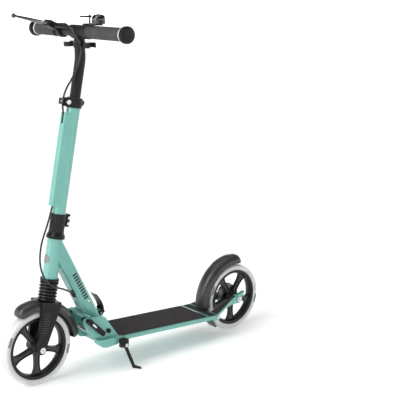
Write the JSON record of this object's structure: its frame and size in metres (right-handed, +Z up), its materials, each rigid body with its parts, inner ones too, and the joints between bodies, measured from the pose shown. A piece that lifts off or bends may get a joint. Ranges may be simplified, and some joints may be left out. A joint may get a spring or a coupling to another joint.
{
  "type": "kick scooter",
  "caption": "Folding kick scooter with large solid wheels, front suspension, hand brake, foot brake fender, side kickstand and a height-adjustable handlebar.",
  "frame": {"origin": "on the ground, on the median plane, midway between the two wheel axles", "axes": "-X forward, +Y to the rider's right, +Z up; the scooter stands upright on its wheels with its kickstand down"},
  "size_m": [0.89, 0.412, 0.9513],
  "materials": {
    "paint": "satin turquoise paint",
    "black_metal": "satin black paint",
    "black_plastic": "fine grained black plastic",
    "fender_plastic": "dark grey moulded plastic with a fine grain",
    "wheel_plastic": "dark grey moulded plastic",
    "tyre_pale": "milky polyurethane",
    "grip_rubber": "dark grey rubber",
    "rubber_black": "black rubber",
    "bell_gloss": "glossy black",
    "steel": "zinc plated steel",
    "black_steel": "black oxide steel",
    "alloy": "cast aluminium",
    "tape": "gritty grip tape"
  },
  "bodies": {
    "deck": {"deck_board": "paint", "deck_nose": "paint", "grip_tape": "tape", "rear_fork": "paint", "fold_bracket": "paint", "fold_pivot_bolt": "black_steel", "lock_rod": "black_steel", "kickstand_bracket": "black_metal", "deck_fasteners": "black_steel", "brake_plate": "black_metal", "rear_axle_bolt": "black_steel", "brake_cable_lower": "rubber_black"},
    "lock_lever": {"lock_lever": "black_metal"},
    "kickstand": {"kickstand": "black_metal"},
    "rear_fender": {"rear_fender": "fender_plastic"},
    "brake_arm": {"brake_arm": "black_steel"},
    "rear_wheel": {"rear_tyre": "tyre_pale", "rear_rim": "wheel_plastic", "rear_bearings": "steel"},
    "front_frame": {"down_tube": "paint", "head_tube": "paint", "head_badge": "alloy", "headset_cups": "black_metal", "hinge_foot": "paint", "down_tube_fittings": "black_plastic"},
    "release_pedal": {"release_pedal": "black_metal"},
    "steerer": {"steerer_tube": "steel", "headset_lock_ring": "black_metal", "stem_clamp": "black_metal", "steering_tube": "paint", "height_collar": "black_metal", "column_bolts": "steel", "brake_cable_upper": "rubber_black"},
    "collar_lever": {"collar_lever": "black_metal"},
    "fork": {"fork_crown": "black_metal", "fork_legs": "black_metal", "front_fender": "fender_plastic", "front_axle_bolt": "black_steel", "suspension_spring": "steel", "fork_bellows": "rubber_black"},
    "front_wheel": {"front_tyre": "tyre_pale", "front_rim": "wheel_plastic", "front_bearings": "steel"},
    "handlebar": {"stem_tube": "black_metal", "bar_tee": "black_metal", "grip_clips": "black_plastic"},
    "left_button": {"left_button": "black_steel"},
    "right_button": {"right_button": "black_steel"},
    "left_bar": {"left_bar_tube": "black_metal", "left_grip": "grip_rubber", "left_grip_cap": "rubber_black", "bell_base": "black_plastic", "bell_dome": "bell_gloss"},
    "bell_lever": {"bell_lever": "black_plastic"},
    "right_bar": {"right_bar_tube": "black_metal", "right_grip": "grip_rubber", "right_grip_cap": "rubber_black", "brake_perch": "black_metal", "brake_boot": "rubber_black"},
    "brake_lever": {"brake_lever": "black_metal"}
  },
  "joints": [
    {"name": "fold", "type": "hinge", "parent": "deck", "child": "front_frame", "pos_m": [-0.15117, 0, 0.1166], "axis": [0, 1, 0], "range_deg": [0, 82], "deforming": ["brake_cable_lower"]},
    {"name": "lock_lever_swing", "type": "hinge", "parent": "deck", "child": "lock_lever", "pos_m": [-0.21738, -0.0605, 0.15764], "axis": [-0.6966, 0, -0.7175], "range_deg": [0, 110]},
    {"name": "kickstand_swing", "type": "hinge", "parent": "deck", "child": "kickstand", "pos_m": [-0.11163, -0.072, 0.07476], "axis": [0, -1, 0], "range_deg": [0, 61]},
    {"name": "fender_press", "type": "hinge", "parent": "deck", "child": "rear_fender", "pos_m": [0.24165, 0, 0.07073], "axis": [0, 1, 0], "range_deg": [0, 2.8], "stiffness_Nm_per_rad": 10, "springref_deg": -8.59},
    {"name": "brake_arm_swing", "type": "hinge", "parent": "deck", "child": "brake_arm", "pos_m": [0.29514, 0.018, 0.10427], "axis": [0, 1, 0], "range_deg": [0, 20], "deforming": ["brake_cable_lower"]},
    {"name": "rear_wheel_spin", "type": "hinge", "parent": "deck", "child": "rear_wheel", "pos_m": [0.345, 0, 0.1], "axis": [0, 1, 0], "continuous": true},
    {"name": "release_pedal_press", "type": "hinge", "parent": "front_frame", "child": "release_pedal", "pos_m": [-0.14551, 0, 0.15336], "axis": [0, -1, 0], "range_deg": [0, 12], "stiffness_Nm_per_rad": 1, "springref_deg": -8.59},
    {"name": "steering", "type": "hinge", "parent": "front_frame", "child": "steerer", "pos_m": [-0.33318, 0, 0.09792], "axis": [0.1736, 0, 0.9848], "range_deg": [-60, 60], "deforming": ["brake_cable_upper"]},
    {"name": "collar_lever_swing", "type": "hinge", "parent": "steerer", "child": "collar_lever", "pos_m": [-0.24702, 0.017, 0.73057], "axis": [0.1736, 0, 0.9848], "range_deg": [0, 100]},
    {"name": "suspension", "type": "slide", "parent": "steerer", "child": "fork", "axis": [0.1736, 0, 0.9848], "range_m": [0, 0.012], "stiffness_N_per_m": 15000, "springref_m": -0.01, "deforming": ["suspension_spring", "fork_bellows"]},
    {"name": "front_wheel_spin", "type": "hinge", "parent": "fork", "child": "front_wheel", "pos_m": [-0.345, 0, 0.1], "axis": [0, 1, 0], "continuous": true},
    {"name": "height_slide", "type": "slide", "parent": "steerer", "child": "handlebar", "axis": [0.1736, 0, 0.9848], "range_m": [-0.08, 0.04], "deforming": ["brake_cable_upper"]},
    {"name": "left_button_press", "type": "slide", "parent": "handlebar", "child": "left_button", "axis": [0.1736, 0, 0.9848], "range_m": [0, 0.002], "stiffness_N_per_m": 600, "springref_m": -0.002},
    {"name": "right_button_press", "type": "slide", "parent": "handlebar", "child": "right_button", "axis": [0.1736, 0, 0.9848], "range_m": [0, 0.002], "stiffness_N_per_m": 600, "springref_m": -0.002},
    {"name": "left_bar_pull", "type": "slide", "parent": "handlebar", "child": "left_bar", "axis": [0, -1, 0], "range_m": [0, 0.07]},
    {"name": "right_bar_pull", "type": "slide", "parent": "handlebar", "child": "right_bar", "axis": [0, 1, 0], "range_m": [0, 0.07], "deforming": ["brake_cable_upper"]},
    {"name": "bell_lever_push", "type": "hinge", "parent": "left_bar", "child": "bell_lever", "pos_m": [-0.21089, -0.053, 0.94427], "axis": [0, 0, 1], "range_deg": [0, 25], "stiffness_Nm_per_rad": 0.05, "springref_deg": -11.46},
    {"name": "brake_lever_pull", "type": "hinge", "parent": "right_bar", "child": "brake_lever", "pos_m": [-0.24344, 0.088, 0.92254], "axis": [-0.4067, 0, -0.9135], "range_deg": [0, 20], "stiffness_Nm_per_rad": 1.5, "springref_deg": -17.19}
  ],
  "couplings": [
    {"joint": "brake_arm_swing", "follows": "brake_lever_pull", "ratio": 1}
  ]
}
